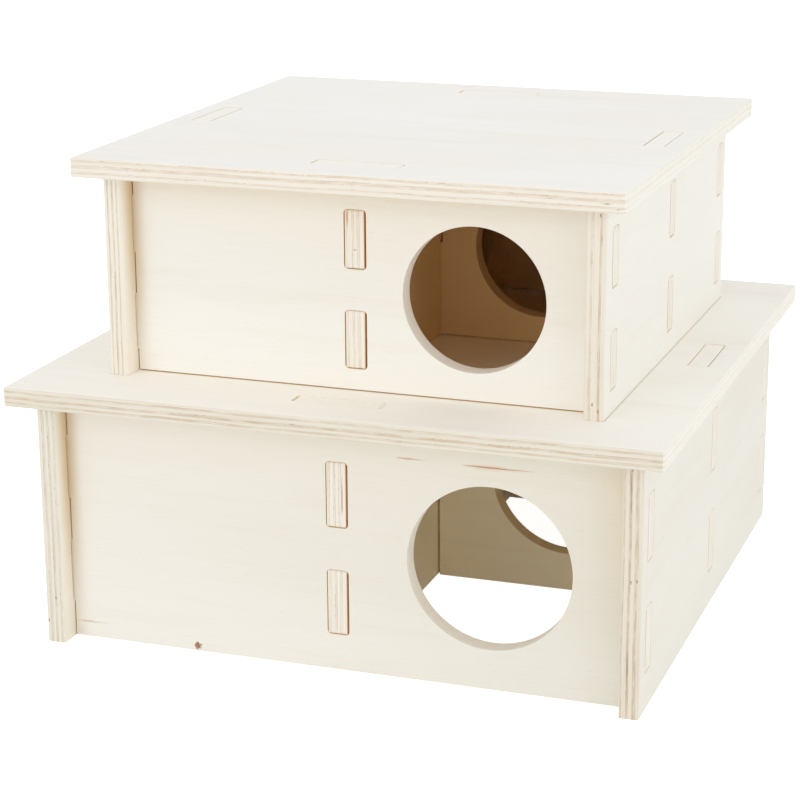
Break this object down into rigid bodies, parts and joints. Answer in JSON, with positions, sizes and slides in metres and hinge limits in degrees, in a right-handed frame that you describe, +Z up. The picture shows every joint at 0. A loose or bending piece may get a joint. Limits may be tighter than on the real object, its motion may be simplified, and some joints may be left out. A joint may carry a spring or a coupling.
{
  "type": "wooden hamster house",
  "caption": "Two stacked plywood hamster houses with round entries, four chambers each and flat roofs that lift off.",
  "frame": {"origin": "middle of the lower house's footprint, on the ground", "axes": "+Z up, -Y the side with the entries, +X to the right seen from that side"},
  "size_m": [0.269, 0.269, 0.201],
  "materials": {
    "plywood_wall": "sanded, untreated",
    "plywood_roof": "sanded, untreated"
  },
  "bodies": {
    "lower_house": {"lower_left_wall": "plywood_wall", "lower_right_wall": "plywood_wall", "lower_front_panel": "plywood_wall", "lower_back_panel": "plywood_wall", "lower_middle_panel": "plywood_wall", "lower_divider": "plywood_wall"},
    "lower_lid": {"lower_roof": "plywood_roof"},
    "upper_house": {"upper_left_wall": "plywood_wall", "upper_right_wall": "plywood_wall", "upper_front_panel": "plywood_wall", "upper_back_panel": "plywood_wall", "upper_middle_panel": "plywood_wall", "upper_divider": "plywood_wall"},
    "upper_lid": {"upper_roof": "plywood_roof"}
  },
  "joints": [
    {"name": "lower_roof_lift", "type": "slide", "parent": "lower_house", "child": "lower_lid", "axis": [0, 0, 1], "range_m": [0, 0.06]},
    {"name": "upper_house_lift", "type": "slide", "parent": "lower_lid", "child": "upper_house", "axis": [0, 0, 1], "range_m": [0, 0.06]},
    {"name": "upper_roof_lift", "type": "slide", "parent": "upper_house", "child": "upper_lid", "axis": [0, 0, 1], "range_m": [0, 0.06]}
  ]
}
